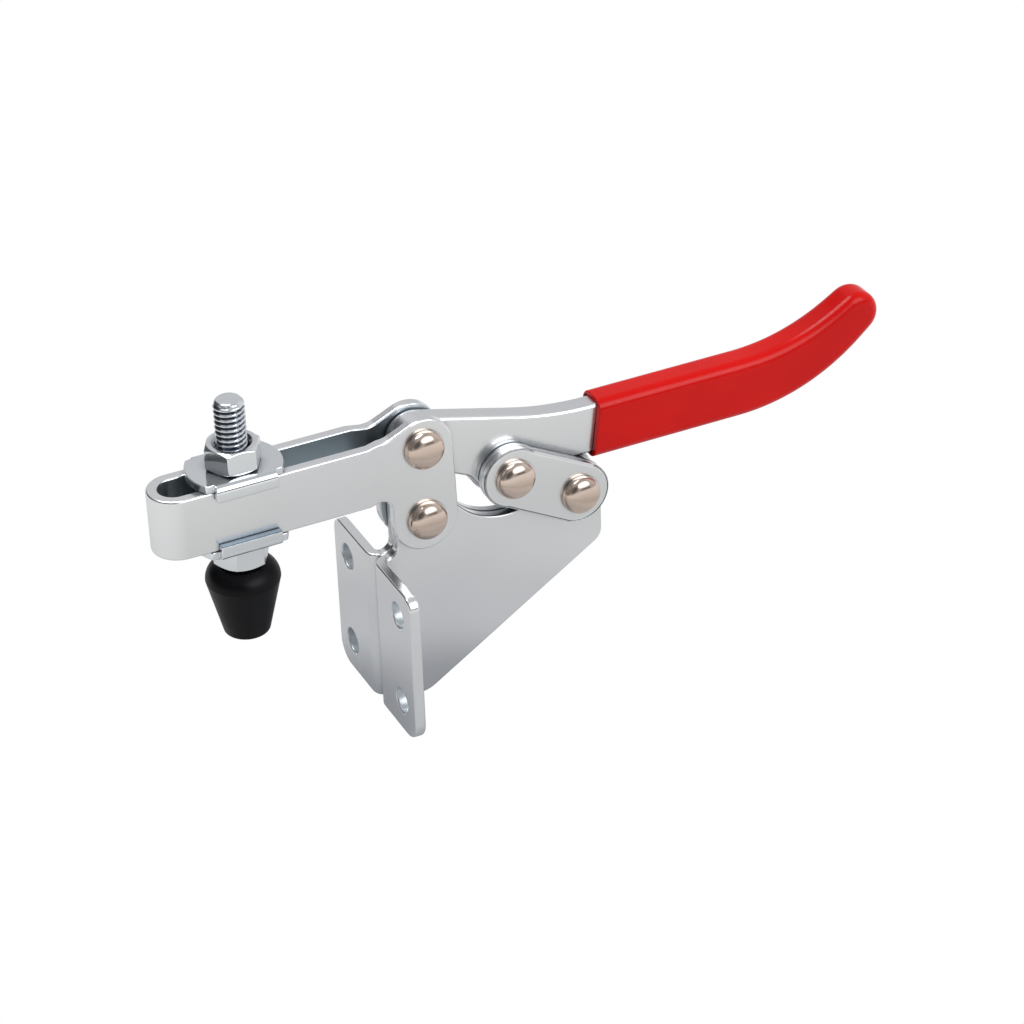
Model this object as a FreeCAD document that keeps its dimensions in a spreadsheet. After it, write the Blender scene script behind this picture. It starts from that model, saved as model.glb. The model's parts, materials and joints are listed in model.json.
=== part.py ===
"""A toggle clamp: flanged base, U-shaped bar, lying handle and rubber-tipped spindle.

Millimetres, +Z up. The mounting face of the flanges is the plane x = 0 and the origin is the
centre of their four holes. +X points to the handle, and the clamp is symmetric about y = 0.
The side with negative y is called left, as seen by a person who holds the handle.
"""
import FreeCAD, Part
import math
import os
import Sketcher

Vector = FreeCAD.Vector

# Driving dimensions: name, millimetres, meaning
DIMENSIONS = [
    ("base_sheet", 3.0, "thickness of each base plate"),
    ("hole_pitch_wide", 31.4, "flange holes, across the clamp"),
    ("hole_pitch_high", 26.7, "flange holes, up the flange"),
    ("hole_radius", 3.5, "flange holes"),
    ("flange_reach", 24.1, "flange edge from the middle plane"),
    ("flange_top", 21.9, "flange top above the hole centre"),
    ("flange_drop", 22.5, "flange bottom below the hole centre"),
    ("fold_radius", 1.0, "inside radius of the flange fold"),
    ("corner_high", 3.5, "upper flange corner radius"),
    ("corner_low", 6.0, "lower flange corner radius"),
    ("arm_pivot_x", 13.8, "bar pivot behind the mounting face"),
    ("arm_pivot_z", 32.95, "bar pivot above the hole centre"),
    ("lug_front", 6.5, "front edge of the lug behind the mounting face"),
    ("lug_rise", 9.7, "top of the lug above the bar pivot"),
    ("lug_corner", 4.5, "upper corner of the lug"),
    ("lug_root", 3.0, "hollow corner between lug and flange"),
    ("lug_back", 3.0, "rounded corner between the lug's top and the scoop"),
    ("scoop_radius", 17.5, "hollow that lets the handle's end swing through"),
    ("scoop_x", 24.3, "scoop centre behind the bar pivot"),
    ("scoop_z", 10.0, "scoop centre above the bar pivot"),
    ("anchor_x", 43.5, "link anchor behind the bar pivot"),
    ("anchor_drop", 4.9, "link anchor below the bar pivot"),
    ("anchor_lobe", 8.2, "base outline about the link anchor"),
    ("heel_drop", 17.6, "heel corner below the link anchor"),
    ("heel_corner", 4.5, "heel corner radius"),
    ("sole_length", 13.5, "length of the base's bottom edge"),
    ("sole_corner", 8.0, "corner radius at the end of the bottom edge"),
    ("arm_reach", 21.0, "handle pivot above the bar pivot"),
    ("elbow_x", 24.9, "elbow behind the bar pivot"),
    ("elbow_z", 5.2, "elbow above the bar pivot"),
    ("side_gap", 0.05, "running gap between neighbouring layers"),
    ("shank_radius", 3.0, "rivet shank"),
    ("rivet_gap", 0.05, "running gap round a rivet shank"),
    ("head_radius", 5.35, "rivet head"),
    ("head_rim", 1.2, "straight rim of a rivet head"),
    ("head_height", 3.6, "height of a rivet head"),
    ("strip", 3.0, "thickness of the bar's strip"),
    ("bar_half_width", 7.2, "outer face of the bar from the middle plane"),
    ("bar_bottom", 8.5, "lower edge of the bar above the bar pivot"),
    ("bar_rise", 4.6, "upper edge of the bar above the handle pivot"),
    ("nose_x", 64.6, "centre of the bar's nose ahead of the bar pivot"),
    ("joggle_start", 12.3, "joggle ahead of the bar pivot, ear side"),
    ("joggle_length", 3.5, "length of the joggle"),
    ("ear_low", 9.0, "ear outline about the bar pivot"),
    ("ear_high", 8.3, "ear outline about the handle pivot"),
    ("ear_throat", 3.6, "hollow corner under the bar"),
    ("ear_crown", 6.0, "hollow corner on top of the bar"),
    ("lever_width", 6.0, "handle lever over its two walls"),
    ("lever_sheet", 2.0, "sheet of the folded handle lever"),
    ("lever_end", 7.0, "lever outline about the handle pivot"),
    ("lever_lobe", 8.3, "lever outline about the elbow"),
    ("lever_waist", 5.0, "hollow between the two lobes"),
    ("waist_x", 10.8, "centre of the hollow behind the handle pivot"),
    ("waist_drop", 2.5, "centre of the hollow below the elbow"),
    ("lever_bottom", 17.3, "lower edge of the lever below the handle pivot"),
    ("lever_top", 3.0, "upper edge of the lever below the handle pivot"),
    ("brow_x", 50.2, "end of the sloping brow behind the handle pivot"),
    ("brow_radius", 87.0, "hollow curve of the brow"),
    ("belly_radius", 55.2, "curve of the belly"),
    ("belly_gap", 0.14918, "belly's curve clear of the tip's circle"),
    ("saddle_radius", 57.0, "hollow curve of the saddle"),
    ("saddle_gap", 0.10225, "saddle's curve clear of the tip's circle"),
    ("tip_x", 129.0, "centre of the handle's tip behind the handle pivot"),
    ("tip_z", 2.7, "centre of the handle's tip above the handle pivot"),
    ("tip_radius", 5.0, "tip of the lever"),
    ("lever_round", 0.7, "bevelled edges of the lever"),
    ("grip_start", 50.0, "front edge of the grip behind the handle pivot"),
    ("grip_lean", 1.0, "lean of the grip's front edge"),
    ("grip_wall", 1.2, "vinyl above and below the lever"),
    ("grip_width", 9.8, "grip over its two sides"),
    ("grip_round", 2.9, "rounded edges of the grip"),
    ("link_elbow", 8.6, "link outline about the elbow"),
    ("link_waist", 8.3, "half height of a link beside the elbow"),
    ("link_anchor", 8.5, "link outline about the anchor"),
    ("inner_link", 1.4, "thickness of an inner link plate"),
    ("outer_link", 2.4, "thickness of an outer link plate"),
    ("link_bevel", 0.3, "bevelled edges of the outer link plates"),
    ("spindle_x", 48.7, "spindle ahead of the bar pivot"),
    ("spindle_radius", 4.0, "spindle, 8 mm thread"),
    ("spindle_top", 46.4, "end of the spindle above the bar pivot"),
    ("spindle_bevel", 1.0, "bevelled end of the spindle"),
    ("thread_gap", 0.05, "gap between spindle and nut"),
    ("nut_flats", 13.0, "across the flats of nuts and spindle head"),
    ("nut_height", 6.5, "height of a nut"),
    ("nut_bevel", 30.0, "degrees of the nuts' bevel"),
    ("bolt_head", 5.3, "height of the spindle head"),
    ("washer_sheet", 2.2, "thickness of a flanged washer"),
    ("washer_radius", 12.4, "round ends of a flanged washer"),
    ("washer_hole", 4.3, "hole of a flanged washer"),
    ("lip_length", 16.4, "length of a washer's lips"),
    ("lip_depth", 2.1, "how far the lips reach over the bar's sides"),
    ("lip_sheet", 2.0, "thickness of the lips"),
    ("lip_gap", 0.1, "gap between the lips and the bar"),
    ("rim_drop", 5.6, "widest line of the rubber tip below the bar pivot"),
    ("rim_radius", 9.8, "widest radius of the rubber tip"),
    ("foot_radius", 6.2, "bottom radius of the rubber tip"),
    ("foot_drop", 21.3, "bottom of the rubber tip below the bar pivot"),
    ("cap_drop", 0.5, "top of the rubber tip below the bar pivot"),
    ("cap_radius", 4.6, "flat top of the rubber tip"),
    ("foot_bevel", 0.8, "bevelled bottom edge of the rubber tip"),
    ("head_sink", 0.6, "spindle head's top below the widest line of the rubber tip"),
]


# Straight steps in each domed line, and the angle at which a rivet head's dome leaves its rim
DOME_STEPS = 4
HEAD_START = 51.0


class Size:
    """A number together with the spreadsheet formula that it comes from."""

    def __init__(self, value, formula):
        self.value = float(value)
        self.formula = formula

    def __add__(self, other):
        other = sized(other)
        return Size(self.value + other.value, f"({self.formula} + {other.formula})")

    def __sub__(self, other):
        other = sized(other)
        return Size(self.value - other.value, f"({self.formula} - {other.formula})")

    def __mul__(self, other):
        other = sized(other)
        return Size(self.value * other.value, f"({self.formula} * {other.formula})")

    def __truediv__(self, other):
        other = sized(other)
        return Size(self.value / other.value, f"({self.formula} / {other.formula})")

    def __neg__(self):
        return Size(-self.value, f"(-1 * {self.formula})")

    __radd__ = __add__
    __rmul__ = __mul__

    def __rsub__(self, other):
        return sized(other) - self


def sized(number):
    """A plain number as a Size."""
    if isinstance(number, Size):
        return number
    return Size(number, repr(float(number)))


def root(size):
    return Size(math.sqrt(size.value), f"sqrt({size.formula})")


def tangent_of(size):
    """Tangent of an angle in degrees."""
    return Size(math.tan(math.radians(size.value)), f"tan({size.formula} * 1 deg)")


class Dimensions:
    """The spreadsheet's cells as attributes, each one a Size."""

    def __init__(self, document):
        sheet = document.addObject("Spreadsheet::Sheet", "Sizes")
        for row, (alias, value, meaning) in enumerate(DIMENSIONS, start=1):
            sheet.set(f"A{row}", str(value))
            sheet.set(f"B{row}", meaning)
            sheet.setAlias(f"A{row}", alias)
            setattr(self, alias, Size(value, f"Sizes.{alias}"))


def bind(owner, path, size):
    """Ties a property to the sheet."""
    owner.setExpression(path, sized(size).formula)


def new_body(document, label, place=(0, 0, 0)):
    body = document.addObject("PartDesign::Body", label)
    body.Label = label
    for axis, size in zip("xyz", place):
        bind(body, f"Placement.Base.{axis}", size)
    return body


def origin_feature(body, role):
    return next(item for item in body.Origin.OriginFeatures if item.Role == role)


def new_sketch(body, role, lift=0):
    """A sketch on one of the body's own planes, moved along the plane's normal."""
    sketch = body.newObject("Sketcher::SketchObject", "Sketch")
    sketch.AttachmentSupport = [(origin_feature(body, role), "")]
    sketch.MapMode = "FlatFace"
    bind(sketch, "AttachmentOffset.Base.z", lift)
    return sketch


def constrain(sketch, kind, references, size):
    """Adds a dimension to a sketch and ties it to the sheet."""
    size = sized(size)
    index = sketch.addConstraint(Sketcher.Constraint(kind, *references, size.value))
    name = f"size_{index}"
    sketch.renameConstraint(index, name)
    bind(sketch, f"Constraints.{name}", size)


def pin_point(sketch, geometry, position, x, y):
    constrain(sketch, "DistanceX", (-1, 1, geometry, position), x)
    constrain(sketch, "DistanceY", (-1, 1, geometry, position), y)


def touching_line(first, first_radius, second, second_radius):
    """Ends of the straight line that leaves one circle and meets the next, both on its left."""
    along = second - first
    length = along.Length
    turn = math.asin((second_radius - first_radius) / length)
    heading = math.atan2(along.y, along.x) - turn
    left = Vector(-math.sin(heading), math.cos(heading), 0)
    return first - left * first_radius, second - left * second_radius


def arc_between(centre, radius, start, end):
    """Arc from start to end. It turns left where the radius is positive, otherwise right."""
    circle = Part.Circle(centre, Vector(0, 0, 1), abs(radius))
    angles = [math.atan2(point.y - centre.y, point.x - centre.x) for point in (start, end)]
    if radius < 0:
        angles.reverse()
    if angles[1] < angles[0]:
        angles[1] += 2 * math.pi
    return Part.ArcOfCircle(circle, *angles)


def bow_centre(start, end, radius):
    chord = end - start
    left = Vector(-chord.y, chord.x, 0).normalize()
    rise = math.sqrt(radius ** 2 - (chord.Length / 2) ** 2)
    return (start + end) / 2 + left * math.copysign(rise, radius)


def draw_outline(sketch, nodes):
    """Draws a closed line, anticlockwise.

    A node (x, y) is a corner. A node (x, y, r) is an arc about that point which the straight
    lines meet smoothly, hollow where r is negative. A node (x, y, None, r) is a corner from
    which an arc of radius r, not a straight line, runs to the next corner.
    """
    nodes = [tuple(node) + (None,) * (4 - len(node)) for node in nodes]
    centres = [Vector(sized(x).value, sized(y).value, 0) for x, y, _, _ in nodes]
    radii = [sized(arc or 0).value for _, _, arc, _ in nodes]
    count = len(nodes)
    edges = []
    for index, node in enumerate(nodes):
        following = (index + 1) % count
        start, end = touching_line(centres[index], radii[index],
                                   centres[following], radii[following])
        edges.append((start, end))
    path = []
    for index, (_, _, arc, bow) in enumerate(nodes):
        start, end = edges[index]
        if arc is not None:
            arrival = edges[index - 1][1]
            curve = arc_between(centres[index], radii[index], arrival, start)
            path.append((sketch.addGeometry(curve, False), radii[index] > 0, index, "lobe"))
        if bow is None:
            line = Part.LineSegment(start, end)
            path.append((sketch.addGeometry(line, False), True, index, "line"))
        else:
            radius = sized(bow).value
            curve = arc_between(bow_centre(start, end, radius), radius, start, end)
            path.append((sketch.addGeometry(curve, False), radius > 0, index, "bow"))
    for step, (geometry, forward, index, kind) in enumerate(path):
        before, before_forward, _, before_kind = path[step - 1]
        joint = (before, 2 if before_forward else 1, geometry, 1 if forward else 2)
        smooth = "lobe" in (kind, before_kind)
        sketch.addConstraint(Sketcher.Constraint("Tangent" if smooth else "Coincident", *joint))
    for geometry, forward, index, kind in path:
        x, y, arc, bow = nodes[index]
        if kind == "lobe":
            pin_point(sketch, geometry, 3, x, y)
            constrain(sketch, "Radius", (geometry,), arc if radii[index] > 0 else -sized(arc))
        else:
            if arc is None:
                pin_point(sketch, geometry, 1 if forward else 2, x, y)
            if kind == "bow":
                constrain(sketch, "Radius", (geometry,), bow if forward else -sized(bow))


def draw_circle(sketch, x, y, radius):
    centre = Vector(sized(x).value, sized(y).value, 0)
    circle = Part.Circle(centre, Vector(0, 0, 1), sized(radius).value)
    geometry = sketch.addGeometry(circle, False)
    pin_point(sketch, geometry, 3, x, y)
    constrain(sketch, "Radius", (geometry,), radius)


def extrude(body, kind, sketch, length, side="Symmetric", backwards=False):
    """A Pad or a Pocket of a sketch."""
    feature = body.newObject(f"PartDesign::{kind}", kind)
    feature.Profile = sketch
    feature.SideType = side
    feature.Reversed = backwards
    bind(feature, "Length", length)
    return feature


def revolve(body, kind, sketch, axis):
    """A Revolution or a Groove of a sketch, all the way round."""
    feature = body.newObject(f"PartDesign::{kind}", kind)
    feature.Profile = sketch
    feature.ReferenceAxis = (origin_feature(body, axis), [""])
    feature.Angle = 360
    return feature


def trim(body, role, nodes, span, thickness):
    """Cuts away what lies outside an outline, as far out as the span."""
    sketch = new_sketch(body, role)
    draw_outline(sketch, [(-span, -span), (span, -span), (span, span), (-span, span)])
    draw_outline(sketch, nodes)
    extrude(body, "Pocket", sketch, thickness)


def edges_where(feature, wanted):
    """Names of a feature's edges whose two ends are both accepted."""
    found = []
    for number, edge in enumerate(feature.Shape.Edges, start=1):
        ends = [vertex.Point for vertex in edge.Vertexes]
        if all(wanted(point) for point in ends):
            found.append(f"Edge{number}")
    return found


def near(value, size):
    return abs(value - sized(size).value) < 0.01


def round_edges(body, wanted, radius, kind="Fillet"):
    """Fillets or chamfers the edges of the body's newest feature that are accepted."""
    body.Document.recompute()
    base = body.Tip
    feature = body.newObject(f"PartDesign::{kind}", kind)
    feature.Base = (base, edges_where(base, wanted))
    bind(feature, "Radius" if kind == "Fillet" else "Size", radius)
    return feature


def mirrored(document, source, label):
    """The same piece on the other side of the middle plane."""
    twin = document.addObject("Part::Mirroring", label)
    twin.Label = label
    twin.Source = source
    twin.Normal = Vector(0, 1, 0)
    return twin


def build_base_plates(document, dim):
    """Two plates back to back, each folded outwards into a flange with two holes."""
    body = new_body(document, "base_plate_left")
    anchor_x = dim.arm_pivot_x + dim.anchor_x
    anchor_z = dim.arm_pivot_z - dim.anchor_drop
    scoop_x = dim.arm_pivot_x + dim.scoop_x
    back = anchor_x + dim.anchor_lobe
    crown = dim.arm_pivot_z + dim.lug_rise
    fold = dim.base_sheet + dim.fold_radius

    section = new_sketch(body, "XY_Plane", -dim.flange_drop)
    draw_outline(section, [
        (back, -dim.base_sheet),
        (back, 0),
        (fold, -fold, fold),
        (0, -dim.flange_reach),
        (dim.base_sheet, -dim.flange_reach),
        (fold, -fold, -dim.fold_radius),
    ])
    extrude(body, "Pad", section, crown + dim.flange_drop, side="One side")

    trim(body, "XZ_Plane", [
        (0, -dim.flange_drop),
        (dim.sole_length, -dim.flange_drop),
        (back, anchor_z - dim.heel_drop),
        (anchor_x, anchor_z, dim.anchor_lobe),
        (scoop_x, anchor_z + dim.anchor_lobe),
        (scoop_x, crown),
        (dim.lug_front + dim.lug_corner, crown - dim.lug_corner, dim.lug_corner),
        (dim.lug_front - dim.lug_root, dim.flange_top + dim.lug_root, -dim.lug_root),
        (0, dim.flange_top),
    ], back * 2, dim.flange_reach * 3)

    above_flange = new_sketch(body, "YZ_Plane")
    draw_outline(above_flange, [
        (-dim.flange_reach * 2, dim.flange_top),
        (-fold, dim.flange_top),
        (-fold, crown * 2),
        (-dim.flange_reach * 2, crown * 2),
    ])
    extrude(body, "Pocket", above_flange, dim.base_sheet * 2)

    scoop = new_sketch(body, "XZ_Plane")
    draw_circle(scoop, scoop_x, dim.arm_pivot_z + dim.scoop_z, dim.scoop_radius)
    extrude(body, "Pocket", scoop, dim.base_sheet * 4)

    pivots = new_sketch(body, "XZ_Plane")
    draw_circle(pivots, dim.arm_pivot_x, dim.arm_pivot_z, dim.shank_radius + dim.rivet_gap)
    draw_circle(pivots, anchor_x, anchor_z, dim.shank_radius + dim.rivet_gap)
    extrude(body, "Pocket", pivots, dim.base_sheet * 4)

    holes = new_sketch(body, "YZ_Plane")
    for level in (-1, 1):
        draw_circle(holes, -dim.hole_pitch_wide / 2, dim.hole_pitch_high / 2 * level,
                    dim.hole_radius)
    extrude(body, "Pocket", holes, dim.base_sheet * 4)

    def heel(point):
        return near(point.x, back) and near(point.z, anchor_z - dim.heel_drop)

    def sole(point):
        return near(point.x, dim.sole_length) and near(point.z, -dim.flange_drop)

    def lower_corner(point):
        return near(point.y, -dim.flange_reach) and near(point.z, -dim.flange_drop)

    def upper_corner(point):
        return near(point.y, -dim.flange_reach) and near(point.z, dim.flange_top)

    def scoop_start(point):
        return (point.z > dim.arm_pivot_z.value + dim.lug_corner.value
                and abs(point.x - dim.arm_pivot_x.value - dim.lug_corner.value * 2) < 4)

    round_edges(body, heel, dim.heel_corner)
    round_edges(body, sole, dim.sole_corner)
    round_edges(body, lower_corner, dim.corner_low)
    round_edges(body, upper_corner, dim.corner_high)
    round_edges(body, scoop_start, dim.lug_back)
    return [body, mirrored(document, body, "base_plate_right")]


def bar_top(dim):
    """Upper edge of the bar above the bar pivot."""
    return dim.arm_reach + dim.bar_rise


def build_bar(document, dim):
    """One strip folded round its nose, joggled in at the rear to two ears."""
    body = new_body(document, "u_bar", (dim.arm_pivot_x, 0, dim.arm_pivot_z))
    inner = dim.base_sheet + dim.side_gap
    outer = inner + dim.strip
    slot = dim.bar_half_width - dim.strip
    far = dim.joggle_start + dim.joggle_length

    # The joggle's inner bends lie a little behind the outer ones, so the strip keeps its gauge
    shift = dim.strip * (dim.bar_half_width - outer) / (dim.joggle_length * 2)
    near_bend = shift - dim.joggle_start
    far_bend = shift - far

    plan = new_sketch(body, "XY_Plane", -dim.ear_low)
    draw_outline(plan, [
        (dim.ear_low, inner),
        (dim.ear_low, outer),
        (-dim.joggle_start, outer),
        (-far, dim.bar_half_width),
        (-dim.nose_x, 0, dim.bar_half_width),
        (-far, -dim.bar_half_width),
        (-dim.joggle_start, -outer),
        (dim.ear_low, -outer),
        (dim.ear_low, -inner),
        (near_bend, -inner),
        (far_bend, -slot),
        (-dim.nose_x, 0, -slot),
        (far_bend, slot),
        (near_bend, inner),
    ])
    extrude(body, "Pad", plan, dim.ear_low + dim.arm_reach + dim.ear_high, side="One side")

    front = -(dim.nose_x + dim.bar_half_width * 2)
    trim(body, "XZ_Plane", [
        (0, 0, dim.ear_low),
        (0, dim.arm_reach, dim.ear_high),
        (-dim.ear_high - dim.ear_crown / 2, bar_top(dim) + dim.ear_crown, -dim.ear_crown),
        (front, bar_top(dim)),
        (front, dim.bar_bottom),
        (-dim.ear_low - dim.ear_throat, dim.bar_bottom - dim.ear_throat, -dim.ear_throat),
    ], dim.nose_x * 2, dim.bar_half_width * 4)

    pivots = new_sketch(body, "XZ_Plane")
    for height in (0, dim.arm_reach):
        draw_circle(pivots, 0, height, dim.shank_radius + dim.rivet_gap)
    extrude(body, "Pocket", pivots, dim.bar_half_width * 4)
    return [body]


def belly_x(dim):
    """Start of the belly's curve. The tip stays put and the curve clears it by its gap."""
    rise = dim.belly_radius - dim.lever_bottom - dim.tip_z
    reach = dim.belly_radius - dim.tip_radius + dim.belly_gap
    return dim.tip_x - root(reach * reach - rise * rise)


def saddle_x(dim):
    """Start of the saddle's curve, found from the tip in the same way."""
    rise = dim.saddle_radius - dim.lever_top - dim.tip_z
    reach = dim.saddle_radius + dim.tip_radius + dim.saddle_gap
    return dim.tip_x - root(reach * reach - rise * rise)


def lever_nodes(dim, growth):
    """Side outline of the handle behind its brow, grown outwards by a wall."""
    bottom = -dim.lever_bottom
    top = -dim.lever_top
    return [
        (belly_x(dim), bottom + dim.belly_radius, dim.belly_radius + growth),
        (dim.tip_x, dim.tip_z, dim.tip_radius + growth),
        (saddle_x(dim), top + dim.saddle_radius, -(dim.saddle_radius - growth)),
    ]


def handle_place(dim):
    return (dim.arm_pivot_x, 0, dim.arm_pivot_z + dim.arm_reach)


def build_lever(document, dim):
    """The handle lever, one sheet folded into a channel that is open below."""
    body = new_body(document, "handle_lever", handle_place(dim))
    elbow_z = dim.elbow_z - dim.arm_reach
    step_x = dim.elbow_x + dim.lever_lobe * 1.4
    brow = (dim.brow_x, dim.brow_radius - dim.lever_top)

    side = new_sketch(body, "XZ_Plane")
    draw_outline(side, [
        (0, 0, dim.lever_end),
        (dim.waist_x, elbow_z - dim.waist_drop, -dim.lever_waist),
        (dim.elbow_x, elbow_z, dim.lever_lobe),
        (step_x, -dim.lever_bottom),
        *lever_nodes(dim, 0),
        (*brow, -dim.brow_radius),
    ])
    extrude(body, "Pad", side, dim.lever_width)

    def any_rim(point):
        return near(abs(point.y), dim.lever_width / 2)

    round_edges(body, any_rim, dim.lever_round, "Chamfer")

    hollow = new_sketch(body, "XZ_Plane")
    below = -dim.lever_bottom * 2
    draw_outline(hollow, [
        (dim.lever_sheet - dim.lever_end, below),
        (dim.tip_x - dim.tip_radius, below),
        (dim.tip_x - dim.tip_radius, 0),
        (saddle_x(dim), dim.saddle_radius - dim.lever_top, -(dim.saddle_radius + dim.lever_sheet)),
        (*brow, -(dim.brow_radius + dim.lever_sheet)),
        (0, 0, dim.lever_end - dim.lever_sheet),
    ])
    extrude(body, "Pocket", hollow, dim.lever_width - dim.lever_sheet * 2)

    pivots = new_sketch(body, "XZ_Plane")
    draw_circle(pivots, 0, 0, dim.shank_radius + dim.rivet_gap)
    draw_circle(pivots, dim.elbow_x, elbow_z, dim.shank_radius + dim.rivet_gap)
    extrude(body, "Pocket", pivots, dim.lever_width * 2)
    return [body]


def build_grip(document, dim):
    """The dipped vinyl sleeve, closed at the tip."""
    body = new_body(document, "handle_grip", handle_place(dim))
    start_low = dim.grip_start - dim.grip_lean
    start_high = dim.grip_start + dim.grip_lean
    side = new_sketch(body, "XZ_Plane")
    draw_outline(side, [
        (start_low, -dim.lever_bottom - dim.grip_wall),
        *lever_nodes(dim, dim.grip_wall),
        (start_high, dim.grip_wall - dim.lever_top),
    ])
    extrude(body, "Pad", side, dim.grip_width)

    def long_rim(point):
        return near(abs(point.y), dim.grip_width / 2)

    def front_rim(point):
        return point.x < start_high.value + 0.01

    body.Document.recompute()
    base = body.Tip
    front_edges = set(edges_where(base, front_rim))
    rims = [name for name in edges_where(base, long_rim) if name not in front_edges]
    fillet = body.newObject("PartDesign::Fillet", "Fillet")
    fillet.Base = (base, rims)
    bind(fillet, "Radius", dim.grip_round)

    core = new_sketch(body, "XZ_Plane")
    draw_outline(core, [
        (start_low / 2, -dim.lever_bottom),
        *lever_nodes(dim, 0),
        (start_low / 2, -dim.lever_top),
    ])
    extrude(body, "Pocket", core, dim.lever_width)
    return [body]


def build_link(document, dim, label, inside, thickness, bevel):
    """A link plate between the anchor and the elbow, on the left side."""
    anchor = (dim.arm_pivot_x + dim.anchor_x, 0, dim.arm_pivot_z - dim.anchor_drop)
    elbow = (dim.elbow_x - dim.anchor_x, dim.elbow_z + dim.anchor_drop)
    body = new_body(document, label + "_left", anchor)
    plate = new_sketch(body, "XZ_Plane", inside)
    draw_outline(plate, [(0, 0, dim.link_anchor), (*elbow, dim.link_waist)])
    extrude(body, "Pad", plate, thickness, side="One side")
    lobe = new_sketch(body, "XZ_Plane", inside)
    draw_circle(lobe, *elbow, dim.link_elbow)
    extrude(body, "Pad", lobe, thickness, side="One side")
    if bevel is not None:
        round_edges(body, lambda point: near(abs(point.y), inside + thickness), bevel, "Chamfer")
    pivots = new_sketch(body, "XZ_Plane")
    for centre in ((0, 0), elbow):
        draw_circle(pivots, *centre, dim.shank_radius + dim.rivet_gap)
    extrude(body, "Pocket", pivots, (inside + thickness) * 4)
    return [body, mirrored(document, body, label + "_right")]


def build_links(document, dim):
    inner_face = dim.base_sheet + dim.side_gap
    joint_face = inner_face + dim.inner_link
    return [
        *build_link(document, dim, "inner_link", inner_face, dim.inner_link, None),
        *build_link(document, dim, "outer_link", joint_face, dim.outer_link, dim.link_bevel),
    ]


def dome(inner, outer, low, high, start):
    """Corners of a domed line from its rim to its crown, in short straight steps.

    The start is the angle in degrees at which the rim lies on the dome's circle.
    """
    corners = []
    base = math.radians(start)
    for step in range(DOME_STEPS + 1):
        angle = base + (math.pi / 2 - base) * step / DOME_STEPS
        across = math.cos(angle) / math.cos(base)
        upward = (math.sin(angle) - math.sin(base)) / (1 - math.sin(base))
        corners.append((inner + (outer - inner) * round(across, 6),
                        low + (high - low) * round(upward, 6)))
    return corners


def head_dome(dim, seat):
    """Half of a rivet head's section, from its rim to its top on the axis."""
    rim = seat + dim.head_rim
    return dome(sized(0), dim.head_radius, rim, seat + dim.head_height, HEAD_START)


def build_rivet(document, dim, label, x, z, seat):
    """A rivet right through, with a domed head on both sides. The seat is under the heads."""
    body = new_body(document, label, (x, 0, z))
    half = new_sketch(body, "XY_Plane")
    upper = head_dome(dim, seat)
    lower = [(reach, -height) for reach, height in reversed(upper)]
    draw_outline(half, [
        *lower,
        (dim.head_radius, -seat),
        (dim.shank_radius, -seat),
        (dim.shank_radius, seat),
        (dim.head_radius, seat),
        *upper,
    ])
    revolve(body, "Revolution", half, "Y_Axis")
    return body


def build_half_rivet(document, dim, label, x, z, inside, seat):
    """The left half of the elbow's rivet: a domed head and a shank through the link only."""
    body = new_body(document, label + "_left", (x, 0, z))
    half = new_sketch(body, "XY_Plane")
    draw_outline(half, [
        *[(reach, -height) for reach, height in reversed(head_dome(dim, seat))],
        (dim.head_radius, -seat),
        (dim.shank_radius, -seat),
        (dim.shank_radius, -inside),
        (0, -inside),
    ])
    revolve(body, "Revolution", half, "Y_Axis")
    return [body, mirrored(document, body, label + "_right")]


def build_rivets(document, dim):
    ear_face = dim.base_sheet + dim.side_gap + dim.strip
    link_face = dim.base_sheet + dim.side_gap + dim.inner_link + dim.outer_link
    pivot = (dim.arm_pivot_x, dim.arm_pivot_z)
    anchor = (dim.arm_pivot_x + dim.anchor_x, dim.arm_pivot_z - dim.anchor_drop)
    elbow = (dim.arm_pivot_x + dim.elbow_x, dim.arm_pivot_z + dim.elbow_z)
    handle = (dim.arm_pivot_x, dim.arm_pivot_z + dim.arm_reach)
    ear_seat = ear_face + dim.side_gap
    link_seat = link_face + dim.side_gap
    return [
        build_rivet(document, dim, "bar_base_rivet", *pivot, ear_seat),
        build_rivet(document, dim, "bar_handle_rivet", *handle, ear_seat),
        build_rivet(document, dim, "link_base_rivet", *anchor, link_seat),
        *build_half_rivet(document, dim, "handle_link_rivet", *elbow,
                          dim.base_sheet + dim.side_gap, link_seat),
    ]


def spindle_place(dim, height):
    """A point on the spindle's axis, at a height above the bar pivot."""
    return (dim.arm_pivot_x - dim.spindle_x, 0, dim.arm_pivot_z + height)


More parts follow.
